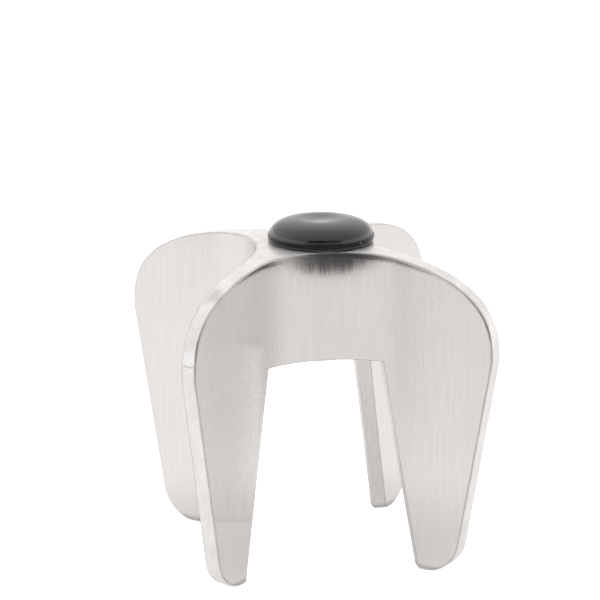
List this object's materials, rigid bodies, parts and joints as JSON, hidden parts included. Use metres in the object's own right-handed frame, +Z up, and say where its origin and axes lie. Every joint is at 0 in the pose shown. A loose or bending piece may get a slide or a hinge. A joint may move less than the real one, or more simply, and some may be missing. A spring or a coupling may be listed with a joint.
{
  "type": "champagne opener",
  "caption": "Star-shaped champagne cork opener: a steel star whose tapered prongs grip the cork's head, with a sprung black push button on the hub that ejects it.",
  "frame": {"origin": "on the plane of the prong tips, under the middle of the star", "axes": "+Z up through the star's hub; the prongs lie on the diagonals between X and Y; the front in the picture faces -Y; the button's axis is parallel to Z, shifted 2.3 mm towards the front right prong, between +X and -Y"},
  "size_m": [0.0536, 0.0536, 0.0588],
  "materials": {
    "star_steel": "stainless steel, brushed along the prongs on the flanks, smoother and brighter on the edges and the hub's top",
    "cap_rubber": "matte black rubber",
    "carrier_plastic": "glossy black moulded plastic",
    "turned_steel": "fine turned stainless steel",
    "spring_steel": "bright drawn spring steel",
    "guide_plastic": "natural white bearing plastic"
  },
  "bodies": {
    "star": {"star_body": "star_steel", "gland_bush": "turned_steel", "guide_bush": "guide_plastic", "return_spring": "spring_steel"},
    "button": {"button_cap": "cap_rubber", "button_carrier": "carrier_plastic", "carrier_screw": "turned_steel", "push_rod": "turned_steel", "spring_washer": "turned_steel", "rod_clip": "spring_steel", "ejector_foot": "guide_plastic", "foot_screw": "turned_steel"}
  },
  "joints": [
    {"name": "button_lift", "type": "slide", "parent": "star", "child": "button", "axis": [0, 0, 1], "range_m": [0, 0.003], "stiffness_N_per_m": 250, "springref_m": -0.002, "deforming": ["return_spring"]}
  ]
}
